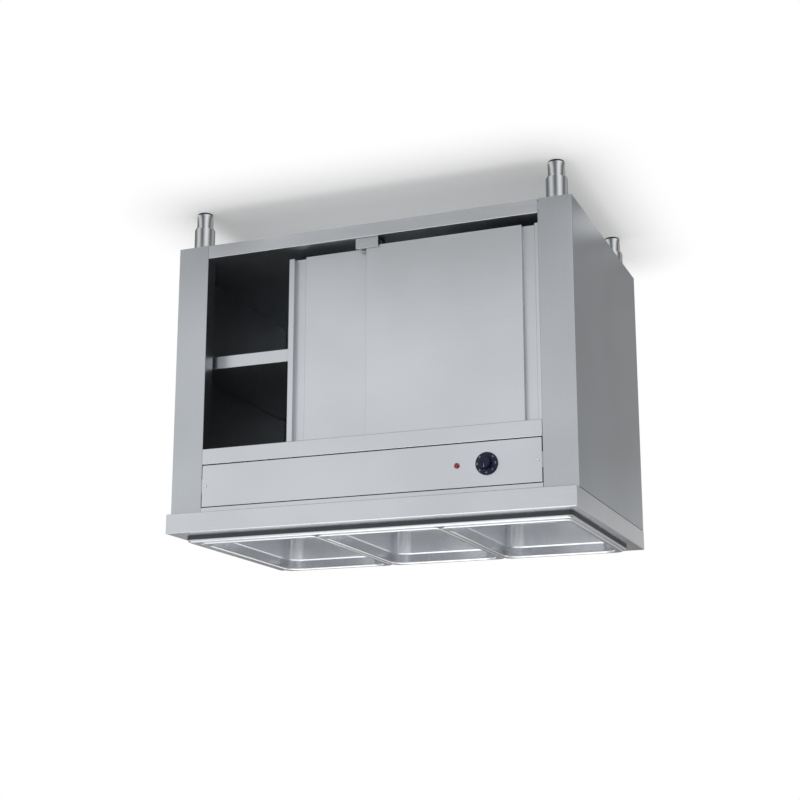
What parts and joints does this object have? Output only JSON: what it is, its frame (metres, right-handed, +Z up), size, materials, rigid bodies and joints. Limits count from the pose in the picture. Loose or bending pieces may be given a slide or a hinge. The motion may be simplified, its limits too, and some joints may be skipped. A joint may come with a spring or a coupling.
{
  "type": "bain marie cabinet",
  "caption": "Floor-standing bain marie: a heated well with lift-out pans over a cupboard with sliding doors, on adjustable legs.",
  "frame": {"origin": "on the floor under the middle of the worktop", "axes": "+X along the worktop, to the right seen from the front; +Y from the front to the back; +Z up"},
  "size_m": [1.07, 0.7, 0.8945],
  "materials": {
    "satin_steel_top": "fine brushed stainless steel",
    "satin_steel_case": "fine brushed stainless steel",
    "satin_steel_front": "fine brushed stainless steel",
    "polished_steel": "bright pressed stainless steel",
    "tank_steel": "plain stainless steel",
    "leg_steel": "brushed stainless tube",
    "zinc_steel": "zinc plated steel",
    "aluminium": "plain extruded aluminium",
    "element_alloy": "dark nickel alloy sheath",
    "brass": "plain brass",
    "black_plastic": "black moulded plastic",
    "grey_plastic": "grey moulded plastic",
    "white_nylon": "white nylon",
    "red_lens": "clear red moulding"
  },
  "bodies": {
    "cabinet": {"worktop": "satin_steel_top", "cross_bar_left": "satin_steel_top", "cross_bar_right": "satin_steel_top", "side_panel_left": "satin_steel_case", "side_panel_right": "satin_steel_case", "back_panel": "satin_steel_case", "door_stop_left": "satin_steel_case", "door_stop_right": "satin_steel_case", "shelf_bracket_left": "satin_steel_case", "shelf_bracket_right": "satin_steel_case", "control_panel": "satin_steel_front", "front_top_rail": "satin_steel_front", "middle_rail": "satin_steel_front", "bottom_shelf": "satin_steel_front", "mid_shelf": "satin_steel_front", "panel_screw_left": "polished_steel", "panel_screw_right": "polished_steel", "well_tank": "tank_steel", "leg_tube_front_left": "leg_steel", "leg_tube_front_right": "leg_steel", "leg_tube_rear_left": "leg_steel", "leg_tube_rear_right": "leg_steel", "base_channel_left": "zinc_steel", "base_channel_right": "zinc_steel", "door_track": "zinc_steel", "heating_element": "element_alloy", "element_flange": "brass", "thermostat_bulb": "brass", "drain_valve_body": "brass", "cable_gland": "black_plastic", "door_guide": "aluminium", "thermostat_body": "grey_plastic", "pilot_lamp_body": "grey_plastic", "terminal_block": "grey_plastic", "pilot_lamp_lens": "red_lens"},
    "pan_left": {"pan_left": "polished_steel"},
    "pan_centre": {"pan_centre": "polished_steel"},
    "pan_right": {"pan_right": "polished_steel"},
    "front_door": {"front_door_panel": "satin_steel_front", "front_door_liner": "satin_steel_front", "front_door_hanger_left": "zinc_steel", "front_door_hanger_right": "zinc_steel"},
    "rear_door": {"rear_door_panel": "satin_steel_front", "rear_door_liner": "satin_steel_front", "rear_door_hanger_left": "zinc_steel", "rear_door_hanger_right": "zinc_steel"},
    "knob": {"thermostat_knob": "black_plastic", "thermostat_spindle": "zinc_steel"},
    "drain_lever": {"drain_valve_lever": "zinc_steel", "drain_valve_plug": "brass"},
    "front_door_roller_left": {"front_door_roller_left": "white_nylon"},
    "front_door_roller_right": {"front_door_roller_right": "white_nylon"},
    "rear_door_roller_left": {"rear_door_roller_left": "white_nylon"},
    "rear_door_roller_right": {"rear_door_roller_right": "white_nylon"},
    "foot_front_left": {"foot_front_left": "grey_plastic"},
    "foot_front_right": {"foot_front_right": "grey_plastic"},
    "foot_rear_left": {"foot_rear_left": "grey_plastic"},
    "foot_rear_right": {"foot_rear_right": "grey_plastic"}
  },
  "joints": [
    {"name": "pan_left_lift", "type": "slide", "parent": "cabinet", "child": "pan_left", "axis": [0, 0, 1], "range_m": [0, 0.15]},
    {"name": "pan_centre_lift", "type": "slide", "parent": "cabinet", "child": "pan_centre", "axis": [0, 0, 1], "range_m": [0, 0.15]},
    {"name": "pan_right_lift", "type": "slide", "parent": "cabinet", "child": "pan_right", "axis": [0, 0, 1], "range_m": [0, 0.15]},
    {"name": "front_door_slide", "type": "slide", "parent": "cabinet", "child": "front_door", "axis": [1, 0, 0], "range_m": [0, 0.4478]},
    {"name": "rear_door_slide", "type": "slide", "parent": "cabinet", "child": "rear_door", "axis": [1, 0, 0], "range_m": [-0.2238, 0.224]},
    {"name": "front_door_roller_left_turn", "type": "hinge", "parent": "front_door", "child": "front_door_roller_left", "pos_m": [-0.3926, -0.3075, 0.6835], "axis": [0, 1, 0], "range_deg": [0, 2851]},
    {"name": "front_door_roller_right_turn", "type": "hinge", "parent": "front_door", "child": "front_door_roller_right", "pos_m": [-0.0552, -0.3075, 0.6835], "axis": [0, 1, 0], "range_deg": [0, 2851]},
    {"name": "rear_door_roller_left_turn", "type": "hinge", "parent": "rear_door", "child": "rear_door_roller_left", "pos_m": [-0.1688, -0.2875, 0.6835], "axis": [0, 1, 0], "range_deg": [-1425, 1427]},
    {"name": "rear_door_roller_right_turn", "type": "hinge", "parent": "rear_door", "child": "rear_door_roller_right", "pos_m": [0.1686, -0.2875, 0.6835], "axis": [0, 1, 0], "range_deg": [-1425, 1427]},
    {"name": "knob_turn", "type": "hinge", "parent": "cabinet", "child": "knob", "pos_m": [-0.3122, -0.3255, 0.75445], "axis": [0, 1, 0], "range_deg": [0, 270]},
    {"name": "drain_lever_turn", "type": "hinge", "parent": "cabinet", "child": "drain_lever", "pos_m": [-0.4, 0.132, 0.669], "axis": [0, 1, 0], "range_deg": [0, 90]},
    {"name": "foot_front_left_height", "type": "slide", "parent": "cabinet", "child": "foot_front_left", "axis": [0, 0, 1], "range_m": [-0.025, 0.025]},
    {"name": "foot_front_right_height", "type": "slide", "parent": "cabinet", "child": "foot_front_right", "axis": [0, 0, 1], "range_m": [-0.025, 0.025]},
    {"name": "foot_rear_left_height", "type": "slide", "parent": "cabinet", "child": "foot_rear_left", "axis": [0, 0, 1], "range_m": [-0.025, 0.025]},
    {"name": "foot_rear_right_height", "type": "slide", "parent": "cabinet", "child": "foot_rear_right", "axis": [0, 0, 1], "range_m": [-0.025, 0.025]}
  ],
  "couplings": [
    {"joint": "front_door_roller_left_turn", "follows": "front_door_slide", "rad_per_m": 111.11},
    {"joint": "front_door_roller_right_turn", "follows": "front_door_slide", "rad_per_m": 111.11},
    {"joint": "rear_door_roller_left_turn", "follows": "rear_door_slide", "rad_per_m": 111.11},
    {"joint": "rear_door_roller_right_turn", "follows": "rear_door_slide", "rad_per_m": 111.11}
  ]
}
